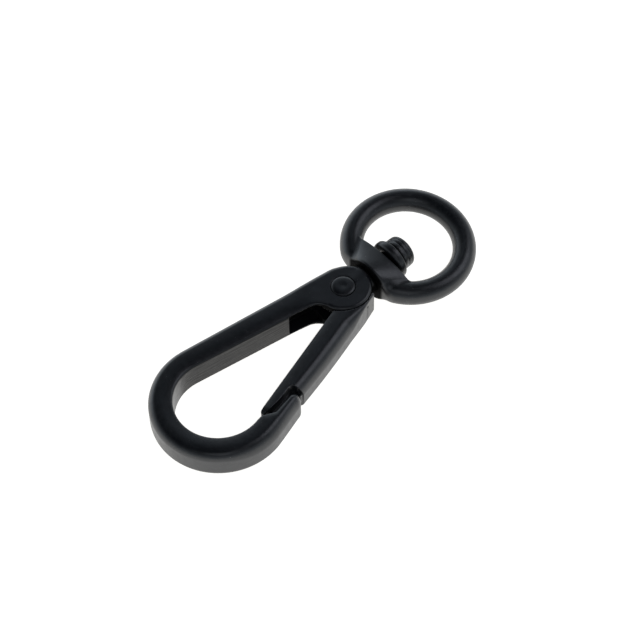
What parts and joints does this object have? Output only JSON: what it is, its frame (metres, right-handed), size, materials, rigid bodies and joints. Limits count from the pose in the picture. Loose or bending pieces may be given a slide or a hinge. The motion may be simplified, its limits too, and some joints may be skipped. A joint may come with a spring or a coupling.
{
  "type": "swivel snap hook",
  "caption": "Black cast snap hook with a spring-loaded gate in its side and a round eye that swivels on a headed stud.",
  "frame": {"origin": "centre of the round eye's opening, on the swivel axis", "axes": "+X along the swivel axis, away from the hook; +Z square to the flat of the hook; the gate is on the -Y side"},
  "size_m": [0.0847, 0.0313, 0.0094],
  "materials": {
    "body_coating": "matte black coating on a die-cast body",
    "gate_coating": "matte black coating on a die-cast gate",
    "rivet_coating": "matte black coating on a steel rivet",
    "spring_wire": "dark spring-steel wire",
    "eye_coating": "matte black coating on a die-cast eye",
    "stud_coating": "matte black coating on a steel stud",
    "washer_coating": "matte black coating on a steel washer"
  },
  "bodies": {
    "hook": {"hook_body": "body_coating", "gate_rivet": "rivet_coating", "gate_spring": "spring_wire", "swivel_stud": "stud_coating", "stud_washer": "washer_coating"},
    "gate": {"gate": "gate_coating"},
    "eye": {"swivel_eye": "eye_coating"}
  },
  "joints": [
    {"name": "gate_pivot", "type": "hinge", "parent": "hook", "child": "gate", "pos_m": [-0.0191, 0, 0], "axis": [0, 0, -1], "range_deg": [0, 22], "stiffness_Nm_per_rad": 0.036, "springref_deg": -85.94, "deforming": ["gate_spring"]},
    {"name": "eye_swivel", "type": "hinge", "parent": "hook", "child": "eye", "pos_m": [-0.0191, 0, 0], "axis": [1, 0, 0], "continuous": true}
  ]
}
